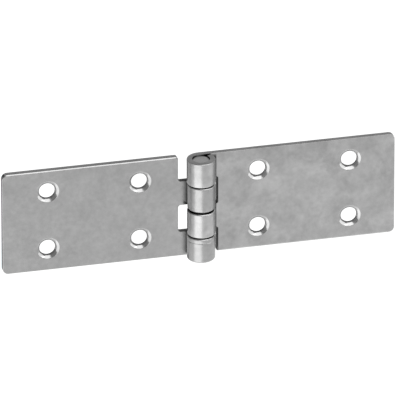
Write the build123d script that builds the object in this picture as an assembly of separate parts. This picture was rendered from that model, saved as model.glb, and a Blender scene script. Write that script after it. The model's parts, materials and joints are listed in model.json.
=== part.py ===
from build123d import *
import os
from math import asin, degrees, isclose

# Back-flap hinge: two sheet-steel leaves, rolled into interleaved knuckles round one plain pin.
# The pin axis is Z and X runs across the open leaves. The front is -Y, where the knuckles stand
# proud and the screw heads sit. The origin is on the pin axis at mid height. Sizes are millimetres.

# Sheet and leaves
sheet = 1.6                # thickness of the strip
leaf_height = 30.8         # along the pin
leaf_reach = 56.0          # pin axis to the outer end of a leaf
outer_corner = 1.6         # radius of the two outer corners
edge_break = 0.2           # narrow slope that tumbling wears on the rims of the blanks

# Pin
pin_diameter = 4.8
pin_recess = 0.4           # each end of the pin lies this far inside the end knuckle
pin_chamfer = 0.2
running_clearance = 0.05   # radial, in the leaf that turns on the pin
gripping_clearance = 0.0   # radial, in the leaf that is closed tight on the pin

# Knuckles
centre_gap = 0.6           # end play, between the two middle knuckles
shoulder_gap = 0.3         # between the upper pair, and between the lower pair
lip_gap = 0.2              # from the rolled lip to the front of its own leaf
left_notch_clearance = 1.95    # from the right leaf's knuckles to the notches in the left leaf
right_notch_clearance = 1.1    # from the left leaf's knuckles to the notches in the right leaf
notch_corner = 0.8         # radius of the corners at the root and the mouth of a notch

# Screw holes
hole_diameter = 4.5
countersink_diameter = 6.9
countersink_angle = 90.0
first_column = 16.9        # pin axis to the nearer column of holes
column_spacing = 26.2
row_spacing = 17.6

# Four knuckles and their three gaps fill the height of the leaves.
knuckle_length = (leaf_height - centre_gap - 2 * shoulder_gap) / 4
top = leaf_height / 2
middle_knuckle = (centre_gap / 2, centre_gap / 2 + knuckle_length)
end_knuckle = (-top, knuckle_length - top)
left_knuckle = pin_diameter / 2 + gripping_clearance + sheet
right_knuckle = pin_diameter / 2 + running_clearance + sheet


def rolled_section(bore, outer):
    """Section of one leaf across the pin: a flat strip that rolls forward round the bore."""
    lip = 180 - degrees(asin((bore - lip_gap) / outer))
    wrap = 450 - lip
    outside = CenterArc((0, 0), outer, 90, -wrap)
    inside = CenterArc((0, 0), bore, lip, wrap)
    return make_face(
        [
            Line((-leaf_reach, outer), (0, outer)),
            outside,
            Line(outside @ 1, inside @ 0),
            inside,
            Line((0, bore), (-leaf_reach, bore)),
            Line((-leaf_reach, bore), (-leaf_reach, outer)),
        ]
    )


def notch(outer, root_distance, low, high):
    """Cutter that clears the strip between two heights, from the notch's root to past the roll."""
    past = outer + sheet
    outline = Rectangle(root_distance + past, high - low)
    outline = Pos((past - root_distance) / 2, (low + high) / 2) * outline
    root = outline.vertices().group_by(Axis.X)[0]
    return extrude(Plane.XZ * fillet(root, notch_corner), amount=past, both=True)


def screw_holes(bore):
    """Cutters for the four countersunk holes of one leaf, with their heads on the front face."""
    front = Plane(origin=(0, bore, 0), x_dir=(1, 0, 0), z_dir=(0, -1, 0))
    hole = CounterSinkHole(
        radius=hole_diameter / 2,
        counter_sink_radius=countersink_diameter / 2,
        depth=2 * sheet,
        counter_sink_angle=countersink_angle,
    )
    centre = Pos(-first_column - column_spacing / 2, 0)
    grid = GridLocations(column_spacing, row_spacing, 2, 2)
    return [front * centre * spot * hole for spot in grid]


def rims(blank, bore, outer):
    """Edges where the broad faces of the strip, flat or rolled, meet its cut edges."""
    flats = blank.faces().filter_by(Plane.XZ)
    rolls = blank.faces().filter_by(GeomType.CYLINDER)
    broad = flats + [face for face in rolls if isclose(face.radius, bore) or isclose(face.radius, outer)]
    edges = [edge for face in broad for edge in face.edges()]
    return [edge for edge in edges if sum(edge.is_same(other) for other in edges) == 1]


def leaf(outer, notch_root):
    """One leaf, reaching to -X, with its knuckles at the foot and just above the middle."""
    bore = outer - sheet
    blank = Pos(0, 0, -top) * extrude(rolled_section(bore, outer), amount=leaf_height)
    # The upper notch runs out at the top edge of the leaf, and the lower one is a window.
    blank -= notch(outer, notch_root, middle_knuckle[1], leaf_height)
    blank -= notch(outer, notch_root, end_knuckle[1], middle_knuckle[0])
    outer_end = blank.edges().filter_by(Axis.Y).group_by(Axis.X)[0]
    blank = fillet(outer_end, outer_corner)
    notch_mouth = blank.edges().filter_by(Axis.Y).group_by(Axis.Z)[-1].sort_by(Axis.X)[-1]
    blank = fillet(notch_mouth, notch_corner)
    blank = chamfer(rims(blank, bore, outer), edge_break)
    return blank - screw_holes(bore)


def hinge_pin():
    """Plain round pin, cut a little shorter than the leaves are high."""
    pin = Cylinder(pin_diameter / 2, leaf_height - 2 * pin_recess)
    return chamfer(pin.edges().filter_by(GeomType.CIRCLE), pin_chamfer)


pieces = {
    "left_leaf": leaf(left_knuckle, right_knuckle + left_notch_clearance),
    # The other leaf is turned end for end. It is closed less tightly and its notches are shallower.
    "right_leaf": Rot(0, 180, 0) * leaf(right_knuckle, left_knuckle + right_notch_clearance),
    "hinge_pin": hinge_pin(),
}

os.makedirs("parts", exist_ok=True)
for name, piece in pieces.items():
    export_step(piece, f"parts/{name}.step")
    print(name, round(piece.volume, 2), piece.bounding_box())
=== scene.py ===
import json
import math

import bmesh
import bpy
from mathutils import Matrix, Vector


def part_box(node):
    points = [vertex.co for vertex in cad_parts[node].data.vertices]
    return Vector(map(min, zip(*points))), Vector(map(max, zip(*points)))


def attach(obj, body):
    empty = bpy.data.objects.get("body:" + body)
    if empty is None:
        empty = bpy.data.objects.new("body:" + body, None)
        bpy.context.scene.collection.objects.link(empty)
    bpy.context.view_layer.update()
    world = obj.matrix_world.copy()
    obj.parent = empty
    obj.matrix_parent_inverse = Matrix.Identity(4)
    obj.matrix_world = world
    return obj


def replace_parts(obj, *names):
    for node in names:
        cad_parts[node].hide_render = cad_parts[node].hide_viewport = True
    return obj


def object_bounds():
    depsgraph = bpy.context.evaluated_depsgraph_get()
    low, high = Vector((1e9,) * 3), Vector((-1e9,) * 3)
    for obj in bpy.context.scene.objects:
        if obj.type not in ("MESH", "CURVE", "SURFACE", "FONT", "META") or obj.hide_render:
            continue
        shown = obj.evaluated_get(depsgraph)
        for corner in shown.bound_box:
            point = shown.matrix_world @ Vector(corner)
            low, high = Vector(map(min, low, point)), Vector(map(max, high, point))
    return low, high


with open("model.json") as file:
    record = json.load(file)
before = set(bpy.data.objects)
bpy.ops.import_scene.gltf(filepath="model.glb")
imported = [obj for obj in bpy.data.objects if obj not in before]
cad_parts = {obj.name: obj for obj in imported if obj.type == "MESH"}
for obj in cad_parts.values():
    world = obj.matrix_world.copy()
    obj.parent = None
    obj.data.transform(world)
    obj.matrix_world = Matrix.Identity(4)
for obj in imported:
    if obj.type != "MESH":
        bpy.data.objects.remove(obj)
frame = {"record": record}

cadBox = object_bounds()  # the solids' own box
mm = 0.001
scene = bpy.context.scene
scene.view_settings.view_transform = "Standard"

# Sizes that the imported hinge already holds, in millimetres
leftLow, leftHigh = (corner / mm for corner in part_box("left_leaf"))
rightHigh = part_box("right_leaf")[1] / mm
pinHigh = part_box("hinge_pin")[1] / mm
sheet = leftHigh.x - pinHigh.x  # the left leaf is closed tight on the pin
topEdge = leftHigh.z
outerEnd = leftLow.x
mounts = {mount["name"]: mount for mount in frame["record"]["mounts"]}
print("frame read: strip", round(sheet, 3), "mm, leaves", round(2 * topEdge, 2), "mm high")


# Small helpers for the node trees
def addNode(tree, kind, inputs=None, **settings):
    node = tree.nodes.new(kind)
    for name, value in settings.items():
        setattr(node, name, value)
    for key, value in (inputs or {}).items():
        if isinstance(value, bpy.types.NodeSocket):
            tree.links.new(value, node.inputs[key])
        else:
            node.inputs[key].default_value = value
    return node


def calc(tree, operation, first, second=0.0, clamp=False):
    node = addNode(tree, "ShaderNodeMath", {0: first, 1: second}, operation=operation, use_clamp=clamp)
    return node.outputs[0]


def swing(tree, mask, middle, depth):  # a value that moves round its middle
    offset = calc(tree, "MULTIPLY", calc(tree, "SUBTRACT", mask, 0.5), depth)
    return calc(tree, "ADD", offset, middle)


def blend(tree, mask, atZero, atOne):
    return calc(tree, "ADD", calc(tree, "MULTIPLY", mask, atOne - atZero), atZero)


def ease(tree, value, start, end, atEnd):  # from 0 at the start, smoothly
    inputs = {"Value": value, "From Min": start, "From Max": end, "To Max": atEnd}
    return addNode(tree, "ShaderNodeMapRange", inputs, interpolation_type="SMOOTHSTEP").outputs[0]


def split(tree, vector):
    return addNode(tree, "ShaderNodeSeparateXYZ", {0: vector}).outputs


def store(tree, geometry, name, value, domain):
    inputs = {"Geometry": geometry, "Name": name, "Value": value}
    node = addNode(tree, "GeometryNodeStoreNamedAttribute", inputs, data_type="FLOAT", domain=domain)
    return node.outputs[0]


def newGroup(name, kind, inputs, outputs):
    tree = bpy.data.node_groups.new(name, kind)
    for label, socketType in inputs.items():
        tree.interface.new_socket(label, in_out="INPUT", socket_type=socketType)
    for label, socketType in outputs.items():
        tree.interface.new_socket(label, in_out="OUTPUT", socket_type=socketType)
    return tree, tree.nodes.new("NodeGroupInput").outputs, tree.nodes.new("NodeGroupOutput").inputs


def setInput(modifier, label, value):
    for item in modifier.node_group.interface.items_tree:
        if item.item_type == "SOCKET" and item.in_out == "INPUT" and item.name == label:
            modifier[item.identifier] = value


def newMaterial(name):
    material = bpy.data.materials.new(name)
    material.use_nodes = True
    return material, material.node_tree


def grey(level):
    return (level, level, level, 1.0)


# Small helpers for the meshes
def link(name, data):
    piece = bpy.data.objects.new(name, data)
    scene.collection.objects.link(piece)
    return piece


def circle(radius, segments):
    turns = [2 * math.pi * k / segments for k in range(segments)]
    return [(radius * math.cos(a), radius * math.sin(a)) for a in turns]


def wrapRings(rings):  # a closed skin over rings of equal length
    skin = bmesh.new()
    loops = [[skin.verts.new(spot) for spot in ring] for ring in rings]
    for near, far in zip(loops, loops[1:]):
        for k in range(len(near)):
            j = (k + 1) % len(near)
            skin.faces.new((near[k], near[j], far[j], far[k]))
    skin.faces.new(loops[0][::-1])
    skin.faces.new(loops[-1])
    return skin


def toMesh(name, skin):
    bmesh.ops.recalc_face_normals(skin, faces=skin.faces)
    mesh = bpy.data.meshes.new(name)
    skin.to_mesh(mesh)
    skin.free()
    return mesh


def makeQuad(name, width, height, material):
    w, h = width / 2, height / 2
    mesh = bpy.data.meshes.new(name)
    mesh.from_pydata([(-w, -h, 0), (w, -h, 0), (w, h, 0), (-w, h, 0)], [], [(0, 1, 2, 3)])
    mesh.materials.append(material)
    return mesh


# Finishes: clouded, finely grained metal in neutral greys
metalEffects = {
    "patchNoise": {"Detail": 3.0, "Roughness": 0.55, "Distortion": 0.6},
    "grainNoise": {"Detail": 3.0, "Roughness": 0.6},
    "grainHeight": 0.02,    # millimetres
    "creviceShadeFalloff": 1.6,  # how steeply the painted shade in a crevice darkens towards its bottom
}


def makeClouding(s):
    tree, given, out = newGroup(
        "plateClouding",
        "ShaderNodeTree",
        {"Patch Scale": "NodeSocketFloat", "Grain Scale": "NodeSocketFloat", "Shift": "NodeSocketVector"},
        {"Patches": "NodeSocketFloat", "Grain": "NodeSocketFloat"},
    )
    place = addNode(tree, "ShaderNodeTexCoord").outputs["Object"]
    moved = addNode(tree, "ShaderNodeVectorMath", {0: place, 1: given["Shift"]}).outputs[0]
    layers = {"Patches": ("Patch Scale", s["patchNoise"]), "Grain": ("Grain Scale", s["grainNoise"])}
    for label, (scale, noise) in layers.items():
        texture = addNode(tree, "ShaderNodeTexNoise", {"Vector": moved, "Scale": given[scale], **noise})
        tree.links.new(texture.outputs["Fac"], out[label])
    return tree


clouding = makeClouding(metalEffects)


def makeFinish(name, look):
    material, tree = newMaterial(name)
    shader = tree.nodes["Principled BSDF"]
    clouds = addNode(tree, "ShaderNodeGroup", {
        "Patch Scale": look["patchScale"],
        "Grain Scale": look["grainScale"],
        "Shift": look["shift"],
    }, node_tree=clouding).outputs
    sheared, rolled, crevice = (  # marks that the leaves carry
        addNode(tree, "ShaderNodeAttribute", attribute_name=mark).outputs["Fac"]
        for mark in ("sheared", "rolled", "crevice")
    )
    tone = swing(tree, clouds["Patches"], look["tone"], look["patchDepth"])
    tone = swing(tree, clouds["Grain"], tone, look["grainDepth"])
    tone = calc(tree, "MULTIPLY", tone, blend(tree, rolled, 1.0, 1.0 + look["rollGloss"]))
    # Darker cut walls: partly bare cut steel, partly painted shade; the inside of the roll is painted shade
    tone = calc(tree, "MULTIPLY", tone, calc(tree, "SUBTRACT", 1.0, sheared))
    # Painted shade in the crevice between the roll and the leaf's front
    shade = calc(tree, "POWER", crevice, metalEffects["creviceShadeFalloff"])
    shade = calc(tree, "MULTIPLY", shade, look["creviceShadeDepth"])
    tone = calc(tree, "MULTIPLY", tone, calc(tree, "SUBTRACT", 1.0, shade))
    colour = addNode(tree, "ShaderNodeCombineColor", {0: tone, 1: tone, 2: tone})
    tree.links.new(colour.outputs[0], shader.inputs["Base Color"])
    rough = swing(tree, clouds["Patches"], look["roughness"], look["roughnessSwing"])
    rough = calc(tree, "ADD", rough, calc(tree, "MULTIPLY", rolled, look["rollDulling"]))
    tree.links.new(rough, shader.inputs["Roughness"])
    shader.inputs["Metallic"].default_value = 1.0
    bump = addNode(tree, "ShaderNodeBump", {
        "Height": clouds["Grain"],
        "Strength": look["bump"],
        "Distance": metalEffects["grainHeight"] * mm,
    })
    tree.links.new(bump.outputs[0], shader.inputs["Normal"])
    return material


leftPlate = makeFinish("leftZincPlate", {
    "tone": 0.33,
    "patchScale": 110.0,
    "patchDepth": 0.10,
    "grainScale": 700.0,
    "grainDepth": 0.12,
    "shift": (0.0, 0.0, 0.0),
    "roughness": 0.19,
    "roughnessSwing": 0.06,
    "creviceShadeDepth": 0.95,
    "rollGloss": 0.0,     # how much brighter the outside of the roll is
    "rollDulling": 0.12,  # how much rougher it is
    "bump": 0.3,
})
rightPlate = makeFinish("rightZincPlate", {
    "tone": 0.355,
    "patchScale": 120.0,
    "patchDepth": 0.28,
    "grainScale": 700.0,
    "grainDepth": 0.13,
    "shift": (0.22, 0.03, 0.20),
    "roughness": 0.19,
    "roughnessSwing": 0.08,
    "creviceShadeDepth": 0.95,
    "rollGloss": 0.09,
    "rollDulling": 0.12,
    "bump": 0.3,
})
pinSteel = makeFinish("pinWireSteel", {
    "tone": 0.48,
    "patchScale": 500.0,
    "patchDepth": 0.10,
    "grainScale": 2000.0,
    "grainDepth": 0.06,
    "shift": (0.0, 0.4, 0.0),
    "roughness": 0.42,
    "roughnessSwing": 0.10,
    "creviceShadeDepth": 0.0,
    "rollGloss": 0.0,
    "rollDulling": 0.0,
    "bump": 0.4,
})
print("finishes made")


# Leaf: stamped flat, pierced, then rolled, all in millimetres and reaching to -X
leafStamping = {
    "outerCorner": 1.6,
    "centreGap": 0.6,
    "shoulderGap": 0.3,
    "lipGap": 0.2,
    "lipCorner": 0.25,
    "rim": (0.14, 0.20),       # softening of most cut edges, on the front and on the back
    "knuckleEnd": (0.06, 0.34),
    "notchSide": (0.06, 0.06),
    "slitEdge": (0.55, 0.10),  # the long edge with no knuckle
    "rimSteps": 4,
    "cornerSteps": 8,
    "rollSteps": 90,
    "crossSteps": 12,          # rows of faces along a knuckle
    "creviceShadeSteps": 8,
}


def arcPoints(corner, before, after, radius, steps):
    toBefore = (before - corner).normalized()
    toAfter = (after - corner).normalized()
    half = toBefore.angle(toAfter) / 2
    centre = corner + (toBefore + toAfter).normalized() * radius / math.sin(half)
    start = corner + toBefore * radius / math.tan(half) - centre
    turn = math.pi - 2 * half
    if toBefore.x * toAfter.y - toBefore.y * toAfter.x > 0:
        turn = -turn  # the outline turns the other way at a notch's root
    for step in range(steps + 1):
        angle = turn * step / steps
        swung = Matrix.Rotation(angle, 2) @ start
        outward = swung.normalized() * (1 if turn > 0 else -1)
        yield centre + swung, outward, step / steps


def blankOutline(corners, steps):
    points = []
    for index, (u, z, radius, softening) in enumerate(corners):
        before = corners[index - 1]
        after = corners[(index + 1) % len(corners)]
        here = Vector((u, z))
        if not radius:  # a point on a straight edge, where only the softening changes
            forward = (Vector(after[:2]) - here).normalized()
            points.append((here, Vector((forward.y, -forward.x)), Vector(softening)))
            continue
        for spot, outward, share in arcPoints(here, Vector(before[:2]), Vector(after[:2]), radius, steps):
            points.append((spot, outward, Vector(before[3]).lerp(Vector(softening), share)))
    return points


def cutAcross(blank, place, along, tolerance=1e-5):
    everything = blank.verts[:] + blank.edges[:] + blank.faces[:]
    bmesh.ops.bisect_plane(blank, geom=everything, plane_co=place, plane_no=along, dist=tolerance)


def stampBlank(bore, cut, s):
    outer = bore + sheet
    foot = -topEdge
    knuckle = (2 * topEdge - s["centreGap"] - 2 * s["shoulderGap"]) / 4
    root = -cut["notchRoot"]
    lipAngle = 1.5 * math.pi + math.asin((bore - s["lipGap"]) / outer)  # just short of its own leaf's front
    lip = lipAngle * (bore + sheet / 2)
    middle = s["centreGap"] / 2
    rim, end, side, floor = s["rim"], s["knuckleEnd"], s["notchSide"], cut["notchRim"]
    bend = sheet  # the knuckle's softening runs out over this length
    corners = [  # u along the strip, z, corner radius, softening of the edge that follows
        (outerEnd, foot, s["outerCorner"], cut["footEdge"]),
        (lip, foot, s["lipCorner"], rim),
        (lip, foot + knuckle, s["lipCorner"], end),
        (bend, foot + knuckle, 0, end),
        (0, foot + knuckle, 0, side),
        (root, foot + knuckle, cut["notchCorner"], floor),
        (root, middle, cut["notchCorner"], side),
        (0, middle, 0, side),
        (bend, middle, 0, end),
        (lip, middle, s["lipCorner"], rim),
        (lip, middle + knuckle, s["lipCorner"], end),
        (bend, middle + knuckle, 0, end),
        (0, middle + knuckle, 0, side),
        (root, middle + knuckle, cut["notchCorner"], floor),
        (root, topEdge, cut["mouthCorner"], s["slitEdge"]),
        (outerEnd, topEdge, s["outerCorner"], rim),
    ]
    outline = blankOutline(corners, s["cornerSteps"])
    loops = []
    turns = [0.5 * math.pi * step / s["rimSteps"] for step in range(s["rimSteps"] + 1)]
    for turn in turns:
        inward, deep = 1 - math.sin(turn), 1 - math.cos(turn)
        loops.append([(p - n * soft[0] * inward, bore + soft[0] * deep) for p, n, soft in outline])
    for turn in turns:
        inward, deep = 1 - math.cos(turn), 1 - math.sin(turn)
        loops.append([(p - n * soft[1] * inward, outer - soft[1] * deep) for p, n, soft in outline])
    blank = wrapRings([[(p.x, depth, p.y) for p, depth in loop] for loop in loops])
    # Rows of faces that let the blank roll, carry the painted crevice shade and take a groove
    for step in range(s["rollSteps"] + 1):
        cutAcross(blank, (lip * step / s["rollSteps"], 0, 0), (1, 0, 0))
    for step in range(s["creviceShadeSteps"] + 1):
        reach = cut["crevice"][0] * step / s["creviceShadeSteps"]
        cutAcross(blank, (-bore - sheet / 2 - reach, 0, 0), (1, 0, 0))
    for low in (foot, middle):
        for step in range(1, s["crossSteps"]):
            cutAcross(blank, (0, 0, low + knuckle * step / s["crossSteps"]), (0, 0, 1))
    markHeight, markWidth, markDepth = cut["rollMark"]
    if markDepth:
        for share in (-1, 0, 1):
            cutAcross(blank, (0, 0, markHeight + share * markWidth), (0, 0, 1))
    return toMesh("flatBlank", blank)


screwHole = {
    "countersinkRadius": 3.35,
    "slopes": (23.0, 27.0, 31.0, 35.0, 62.0),  # degrees, from the rim of the pressed countersink inwards
    "backBreak": 0.30,                         # slope where the punch tore out at the back
    "segments": 72,
    "overshoot": 0.3,                          # of the cutter, past both faces of the strip
}


def holeCutter(holeRadius, s):
    rise = math.tan(math.radians(s["slopes"][0]))
    radius, depth = s["countersinkRadius"], 0.0
    profile = [(radius + s["overshoot"], -s["overshoot"] * rise)]  # radius, depth below the front
    step = (radius - holeRadius) / len(s["slopes"])
    for slope in s["slopes"]:
        radius -= step
        depth += step * math.tan(math.radians(slope))
        profile.append((radius, depth))
    profile.append((holeRadius, sheet - s["backBreak"]))
    profile.append((holeRadius + s["backBreak"] + s["overshoot"], sheet + s["overshoot"]))
    rings = [[(x, depth, z) for x, z in circle(radius, s["segments"])] for radius, depth in profile]
    return toMesh("holeCutter", wrapRings(rings))


leafRolling = {
    "mergeDistance": 0.002,
    "wallSteepness": 0.70,   # of a cut wall, where 0 is a broad face of the strip and 1 is square to it
    "notchSteepness": 0.01,  # round a notch the darkening, partly painted shade, reaches over the whole rim
    "notchZone": 0.6,        # reach of that past the notch's root
    "rimZone": 0.35,         # walls nearer than this to the outer edges are slit, not punched
    "slitDarkness": 0.075,
    "punchedDarkness": 0.825,
    "insidePaintedShade": 0.7,   # painted shade on the inside of the roll
    "insideFacing": -0.5,    # faces of the blank that look further forward than this come inside
    "frontShare": 0.25,      # of the strip's thickness, for the front that the painted crevice shade darkens
    "creviceShadeMouth": 0.8,     # at the long edges the painted crevice shade fades out over this length, as light gets in from outside
    "waviness": 0.05,        # deepest dent in the outside of the roll
    "dentScale": 0.25,       # per millimetre
    "dentDetail": 2.0,
    "awayTurn": 90.0,        # degrees round the roll, to the side away from the leaf
    "lipTurns": (126.0, 270.0),  # over these the wall goes on to its thickness at the lip
    "crispAngle": 35.0,      # degrees; sharper turns than this stay crisp
    "normalWeight": 80,      # keeps the broad faces flat beside the softened rims
}


def makeRolledLeaf(s):
    tree, given, out = newGroup(
        "rolledLeaf",
        "GeometryNodeTree",
        {
            "Blank": "NodeSocketGeometry",
            "Cutter": "NodeSocketObject",
            "Hole Centre": "NodeSocketVector",
            "Column Spacing": "NodeSocketFloat",
            "Row Spacing": "NodeSocketFloat",
            "Merge Distance": "NodeSocketFloat",
            "Sheet": "NodeSocketFloat",
            "Bore": "NodeSocketFloat",
            "Roll Radius": "NodeSocketFloat",
            "Roll Waviness": "NodeSocketFloat",
            "End Draw": "NodeSocketVector",
            "Middle Draw": "NodeSocketVector",
            "Roll Mark": "NodeSocketVector",
            "Seed": "NodeSocketFloat",
            "Half Height": "NodeSocketFloat",
            "Outer End": "NodeSocketFloat",
            "Rim Zone": "NodeSocketFloat",
            "Notch Zone": "NodeSocketFloat",
            "Crevice Shade": "NodeSocketFloat",
            "Crevice Shade Fade": "NodeSocketFloat",
            "Crevice Shade Mouth": "NodeSocketFloat",
            "Finish": "NodeSocketMaterial",
        },
        {"Leaf": "NodeSocketGeometry"},
    )
    # Pierce and countersink the four holes
    corners = addNode(tree, "GeometryNodeMeshGrid", {
        "Size X": given["Column Spacing"],
        "Size Y": given["Row Spacing"],
        "Vertices X": 2,
        "Vertices Y": 2,
    })
    upright = addNode(tree, "GeometryNodeTransform", {
        "Geometry": corners.outputs["Mesh"],
        "Translation": given["Hole Centre"],
        "Rotation": (math.pi / 2, 0, 0),
    })
    cutter = addNode(tree, "GeometryNodeObjectInfo", {"Object": given["Cutter"], "As Instance": True})
    holes = addNode(tree, "GeometryNodeInstanceOnPoints", {
        "Points": upright.outputs[0],
        "Instance": cutter.outputs["Geometry"],
    })
    solidHoles = addNode(tree, "GeometryNodeRealizeInstances", {"Geometry": holes.outputs[0]})
    pierced = addNode(tree, "GeometryNodeMeshBoolean", {
        "Mesh 1": given["Blank"],
        "Mesh 2": solidHoles.outputs[0],
    }, operation="DIFFERENCE", solver="EXACT")
    merged = addNode(tree, "GeometryNodeMergeByDistance", {
        "Geometry": pierced.outputs["Mesh"],
        "Distance": given["Merge Distance"],
    })
    place = split(tree, addNode(tree, "GeometryNodeInputPosition").outputs[0])
    normal = split(tree, addNode(tree, "GeometryNodeInputNormal").outputs[0])
    along, depth, height = place["X"], place["Y"], place["Z"]
    pastAxis = calc(tree, "GREATER_THAN", along, 0.0)
    beforeAxis = calc(tree, "LESS_THAN", along, 0.0)
    fromFront = calc(tree, "SUBTRACT", depth, given["Bore"])
    fromLongEdge = calc(tree, "SUBTRACT", given["Half Height"], calc(tree, "ABSOLUTE", height))
    fromEnd = calc(tree, "SUBTRACT", along, given["Outer End"])
    # Darken the cut walls, most of all the punched ones: partly bare cut steel, partly painted shade at the
    # notches and holes. Paint shade on the inside of the roll
    byNotch = calc(tree, "GREATER_THAN", calc(tree, "ADD", along, given["Notch Zone"]), 0.0)
    byNotch = calc(tree, "MULTIPLY", byNotch, beforeAxis)
    steepness = calc(tree, "SUBTRACT", 1.0, calc(tree, "ABSOLUTE", normal["Y"]))
    least = blend(tree, byNotch, s["wallSteepness"], s["notchSteepness"])
    wall = calc(tree, "GREATER_THAN", steepness, least)
    punched = calc(tree, "GREATER_THAN", fromLongEdge, given["Rim Zone"])
    punched = calc(tree, "MULTIPLY", punched, calc(tree, "GREATER_THAN", fromEnd, given["Rim Zone"]))
    darkness = blend(tree, punched, s["slitDarkness"], s["punchedDarkness"])
    onWall = calc(tree, "MULTIPLY", wall, darkness)
    pastLip = calc(tree, "GREATER_THAN", calc(tree, "ADD", along, given["Bore"]), 0.0)
    inside = calc(tree, "MULTIPLY", pastLip, calc(tree, "LESS_THAN", normal["Y"], s["insideFacing"]))
    bareAndShaded = calc(tree, "MAXIMUM", onWall, calc(tree, "MULTIPLY", inside, s["insidePaintedShade"]))
    marked = store(tree, merged.outputs["Geometry"], "sheared", bareAndShaded, "FACE")
    # Mark the outside of the roll
    skin = calc(tree, "DIVIDE", along, given["Roll Radius"], clamp=True)
    skin = calc(tree, "MULTIPLY", skin, calc(tree, "GREATER_THAN", normal["Y"], 0.0))
    marked = store(tree, marked, "rolled", skin, "FACE")
    # Paint shade into the crevice between the roll and the front of its own leaf
    fromRoll = calc(tree, "ADD", calc(tree, "ADD", along, given["Roll Radius"]), given["Crevice Shade"])
    shade = calc(tree, "DIVIDE", fromRoll, given["Crevice Shade Fade"], clamp=True)
    mouth = calc(tree, "DIVIDE", fromLongEdge, given["Crevice Shade Mouth"], clamp=True)
    shade = calc(tree, "MULTIPLY", shade, mouth)
    frontDepth = calc(tree, "MULTIPLY", given["Sheet"], s["frontShare"])
    onFront = calc(tree, "MULTIPLY", calc(tree, "LESS_THAN", fromFront, frontDepth), beforeAxis)
    marked = store(tree, marked, "crevice", calc(tree, "MULTIPLY", shade, onFront), "POINT")
    # Roll what lies past the pin's axis, a little unevenly on the outside
    spread = addNode(tree, "ShaderNodeCombineXYZ", {"X": along, "Z": height}).outputs[0]
    wave = addNode(tree, "ShaderNodeTexNoise", {
        "Vector": spread,
        "W": given["Seed"],
        "Scale": s["dentScale"],
        "Detail": s["dentDetail"],
    }, noise_dimensions="4D").outputs["Fac"]
    dents = calc(tree, "MULTIPLY", wave, given["Roll Waviness"])
    angle = calc(tree, "DIVIDE", along, given["Roll Radius"])
    # X of a draw is how much thinner the wall is on the side away from the leaf, Y at the lip
    draws = addNode(tree, "GeometryNodeSwitch", {
        "Switch": calc(tree, "GREATER_THAN", height, 0.0),
        "False": given["End Draw"],
        "True": given["Middle Draw"],
    }, input_type="VECTOR").outputs[0]
    draw = split(tree, draws)
    away = ease(tree, angle, 0.0, math.radians(s["awayTurn"]), draw["X"])
    lipStart, lipEnd = (math.radians(turn) for turn in s["lipTurns"])
    atLip = ease(tree, angle, lipStart, lipEnd, calc(tree, "SUBTRACT", draw["Y"], draw["X"]))
    thinner = calc(tree, "ADD", calc(tree, "ADD", away, atLip), dents)
    # The closing tool leaves a fine groove round a knuckle
    mark = split(tree, given["Roll Mark"])
    fromMark = calc(tree, "ABSOLUTE", calc(tree, "SUBTRACT", height, mark["X"]))
    groove = calc(tree, "SUBTRACT", 1.0, calc(tree, "DIVIDE", fromMark, mark["Y"]), clamp=True)
    thinner = calc(tree, "ADD", thinner, calc(tree, "MULTIPLY", groove, mark["Z"]))
    outside = calc(tree, "DIVIDE", fromFront, given["Sheet"], clamp=True)
    radius = calc(tree, "SUBTRACT", depth, calc(tree, "MULTIPLY", thinner, outside))
    rolled = addNode(tree, "ShaderNodeCombineXYZ", {
        "X": calc(tree, "MULTIPLY", radius, calc(tree, "SINE", angle)),
        "Y": calc(tree, "MULTIPLY", radius, calc(tree, "COSINE", angle)),
        "Z": height,
    })
    curled = addNode(tree, "GeometryNodeSetPosition", {
        "Geometry": marked,
        "Selection": pastAxis,
        "Position": rolled.outputs[0],
    })
    smooth = addNode(tree, "GeometryNodeSetShadeSmooth", {"Geometry": curled.outputs[0]})
    turn = addNode(tree, "GeometryNodeInputMeshEdgeAngle").outputs["Unsigned Angle"]
    crisp = addNode(tree, "GeometryNodeSetShadeSmooth", {
        "Geometry": smooth.outputs[0],
        "Shade Smooth": calc(tree, "LESS_THAN", turn, math.radians(s["crispAngle"])),
    }, domain="EDGE")
    whole = addNode(tree, "GeometryNodeRealizeInstances", {"Geometry": crisp.outputs[0]})
    finished = addNode(tree, "GeometryNodeSetMaterial", {
        "Geometry": whole.outputs[0],
        "Material": given["Finish"],
    })
    tree.links.new(finished.outputs[0], out["Leaf"])
    return tree


rolledLeaf = makeRolledLeaf(leafRolling)


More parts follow.
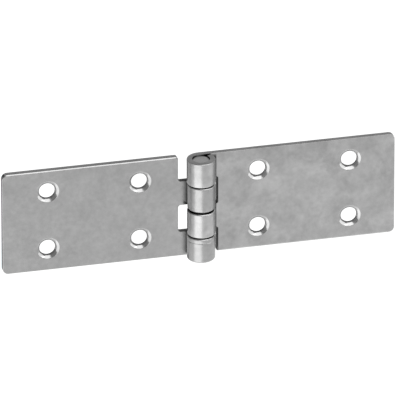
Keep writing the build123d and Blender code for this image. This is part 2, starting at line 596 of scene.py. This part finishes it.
def makeLeaf(name, node, s):
    bore, mount = s["bore"], mounts[s["mount"]]
    pattern = mount["dims"]
    cutter = link("holeCutter", holeCutter(pattern["hole_r_mm"], screwHole))
    leaf = link(name, stampBlank(bore, s, leafStamping))
    shaping = leaf.modifiers.new("rolledLeaf", "NODES")
    shaping.node_group = rolledLeaf
    inputs = {
        "Cutter": cutter,
        "Hole Centre": (-abs(mount["pos_m"][0]) / mm, bore, 0.0),
        "Column Spacing": float(pattern["spacing_x_mm"]),
        "Row Spacing": float(pattern["spacing_y_mm"]),
        "Merge Distance": leafRolling["mergeDistance"],
        "Sheet": sheet,
        "Bore": bore,
        "Roll Radius": bore + sheet / 2,
        "Roll Waviness": leafRolling["waviness"],
        "End Draw": (*s["endDraw"], 0.0),
        "Middle Draw": (*s["middleDraw"], 0.0),
        "Roll Mark": s["rollMark"],
        "Seed": s["seed"],
        "Half Height": topEdge,
        "Outer End": outerEnd,
        "Rim Zone": leafRolling["rimZone"],
        "Notch Zone": s["notchRoot"] + leafRolling["notchZone"],
        "Crevice Shade": s["crevice"][0],
        "Crevice Shade Fade": s["crevice"][1],
        "Crevice Shade Mouth": leafRolling["creviceShadeMouth"],
        "Finish": s["finish"],
    }
    for label, value in inputs.items():
        setInput(shaping, label, value)
    evaluated = leaf.evaluated_get(bpy.context.evaluated_depsgraph_get())
    mesh = bpy.data.meshes.new_from_object(evaluated)
    leaf.modifiers.clear()
    if s["turned"]:
        mesh.transform(Matrix.Rotation(math.pi, 4, "Y"))  # the same stamping, turned end for end
    mesh.transform(Matrix.Scale(mm, 4))
    mesh.name = name
    leaf.data = mesh
    bpy.data.objects.remove(cutter)
    softNormals = leaf.modifiers.new("softNormals", "WEIGHTED_NORMAL")
    softNormals.weight = leafRolling["normalWeight"]
    softNormals.keep_sharp = True
    print(name, "rolled:", len(mesh.polygons), "faces")
    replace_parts(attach(leaf, node), node)
    return leaf


leftLeaf = makeLeaf("left_leaf_rolled", "left_leaf", {
    "bore": pinHigh.x,
    "notchRoot": 6.0,                 # from the pin's axis
    "notchRim": (0.06, 0.05),         # softening of the root, on the front and on the back
    "notchCorner": 0.8,
    "mouthCorner": 0.8,
    "footEdge": (0.05, 0.50),         # softening of the long edge that runs on round the end knuckle
    "endDraw": (0.0, 0.0),            # thinning of a knuckle's wall, away from the leaf and at the lip
    "middleDraw": (0.0, 0.15),
    "rollMark": (-9.35, 0.15, 0.05),  # height, half width and depth of the groove
    "crevice": (2.2, 2.2),            # reach of the painted shade from the roll's middle line, and its fade
    "mount": "left_leaf_screws",
    "finish": leftPlate,
    "seed": 2.0,
    "turned": False,
})
rightLeaf = makeLeaf("right_leaf_rolled", "right_leaf", {
    "bore": rightHigh.y - sheet,
    "notchRoot": 5.05,
    "notchRim": (0.45, 0.05),
    "notchCorner": 0.45,
    "mouthCorner": 0.45,
    "footEdge": (0.05, 0.20),
    "endDraw": (0.0, 0.05),
    "middleDraw": (0.10, 0.04),
    "rollMark": (0.0, 0.15, 0.0),     # no groove
    "crevice": (1.9, 0.35),
    "mount": "right_leaf_screws",
    "finish": rightPlate,
    "seed": 5.0,
    "turned": True,
})


# Pin: drawn wire, cropped and lightly tumbled
pinShape = {
    "endRound": 0.25,
    "endDish": 0.05,
    "dishRings": ((0.35, 1.0), (0.62, 0.4)),  # shares of the radius and of the dish's depth
    "segments": 72,
    "roundSteps": 5,
}


def makePin(name, s):
    radius, half = pinHigh.x, pinHigh.z
    profile = [(radius * across, half - down * s["endDish"]) for across, down in s["dishRings"]]
    for step in range(s["roundSteps"] + 1):
        angle = 0.5 * math.pi * step / s["roundSteps"]
        inset = s["endRound"] * (1 - math.sin(angle))
        profile.append((radius - inset, half - s["endRound"] * (1 - math.cos(angle))))
    profile += [(r, -z) for r, z in reversed(profile)]
    rings = [[(x * mm, y * mm, z * mm) for x, y in circle(r, s["segments"])] for r, z in profile]
    mesh = toMesh(name, wrapRings(rings))
    mesh.shade_smooth()
    mesh.materials.append(pinSteel)
    return link(name, mesh)


hingePin = makePin("hinge_pin_drawn", pinShape)
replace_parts(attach(hingePin, "left_leaf"), "hinge_pin")
print("pin made")


# Floor, light and camera, in metres. The hinge hangs free, well above the floor
floorLook = {"side": 16.0, "drop": 0.45, "tone": 0.9, "roughness": 0.9, "lift": 0.70}


def makeFloor(s):
    material, tree = newMaterial("paleFloor")
    shader = tree.nodes["Principled BSDF"]
    shader.inputs["Base Color"].default_value = grey(s["tone"])
    shader.inputs["Roughness"].default_value = s["roughness"]
    shader.inputs["Specular IOR Level"].default_value = 0.0
    path = addNode(tree, "ShaderNodeLightPath").outputs
    seen = calc(tree, "MAXIMUM", path["Is Camera Ray"], path["Is Glossy Ray"])
    seen = calc(tree, "MAXIMUM", seen, path["Is Transmission Ray"])
    glow = addNode(tree, "ShaderNodeEmission", {"Strength": calc(tree, "MULTIPLY", seen, s["lift"])})
    lifted = addNode(tree, "ShaderNodeAddShader", {0: shader.outputs[0], 1: glow.outputs[0]})
    tree.links.new(lifted.outputs[0], tree.nodes["Material Output"].inputs["Surface"])
    mesh = makeQuad("floor", s["side"], s["side"], material)
    mesh.transform(Matrix.Translation((0, 0, cadBox[0].z - s["drop"])))
    return link("floor", mesh)


makeFloor(floorLook)


def aim(azimuth, elevation, distance, target=Vector((0, 0, 0))):
    a, e = math.radians(azimuth), math.radians(elevation)
    away = Vector((math.sin(a) * math.cos(e), -math.cos(a) * math.cos(e), math.sin(e)))
    turn = (-away).to_track_quat("-Z", "Y")
    return Matrix.Translation(target + away * distance) @ turn.to_matrix().to_4x4()


softboxes = {  # azimuth, elevation and distance from the hinge, and a glow of 1 is white cloth
    "leftSoftbox": {"from": (-38, -31, 0.4), "width": 0.40, "height": 0.44, "glow": 1.25},
    "overheadSoftbox": {"from": (18, 45, 0.5), "width": 0.45, "height": 0.7, "glow": 2.2},
    "rightSoftbox": {"from": (57, 12, 0.5), "width": 0.45, "height": 0.38, "glow": 1.8},
}
for name, s in softboxes.items():
    lamp = bpy.data.lights.new(name, "AREA")
    lamp.shape = "RECTANGLE"
    lamp.size, lamp.size_y = s["width"], s["height"]
    lamp.energy = s["glow"] * math.pi * s["width"] * s["height"]
    box = link(name, lamp)
    box.matrix_world = aim(*s["from"])
    box.visible_camera = False

flags = {  # grey cards beside the set, which only the metal mirrors
    "leftFlag": {"from": (-153, -22, 0.35), "width": 0.24, "height": 0.4, "glow": 0.3},
    "backCard": {"from": (167, 32, 0.6), "width": 0.7, "height": 0.5, "glow": 0.56},
}
for name, s in flags.items():
    card, tree = newMaterial(name)
    glow = addNode(tree, "ShaderNodeEmission", {"Strength": s["glow"]})
    tree.links.new(glow.outputs[0], tree.nodes["Material Output"].inputs["Surface"])
    mesh = makeQuad(name, s["width"], s["height"], card)
    mesh.transform(aim(*s["from"]))
    flag = link(name, mesh)
    flag.visible_camera = flag.visible_shadow = flag.visible_diffuse = False

room = {"level": 0.42}
world = bpy.data.worlds.new("room")
scene.world = world
world.use_nodes = True
world.node_tree.nodes["Background"].inputs["Color"].default_value = grey(room["level"])

view = {
    "azimuth": -13.3,
    "elevation": 27.1,
    "distance": 3.396,
    "lens": 1100.0,
    "sensor": 36.0,
    "clip": (0.05, 50.0),
    "originPixel": (201.1, 207.9),  # where the hinge's origin lies in the picture
    "picture": 400,
}


def makeCamera(s):
    lens = bpy.data.cameras.new("camera")
    lens.lens, lens.sensor_width = s["lens"], s["sensor"]
    lens.clip_start, lens.clip_end = s["clip"]
    camera = link("camera", lens)
    perPixel = s["distance"] * s["sensor"] / s["lens"] / s["picture"]
    turn = aim(s["azimuth"], s["elevation"], s["distance"]).to_3x3()
    across = (s["picture"] / 2 - s["originPixel"][0]) * perPixel
    down = (s["originPixel"][1] - s["picture"] / 2) * perPixel
    camera.matrix_world = aim(s["azimuth"], s["elevation"], s["distance"], turn @ Vector((across, down, 0)))
    return camera


scene.camera = makeCamera(view)
print("camera and lights set")
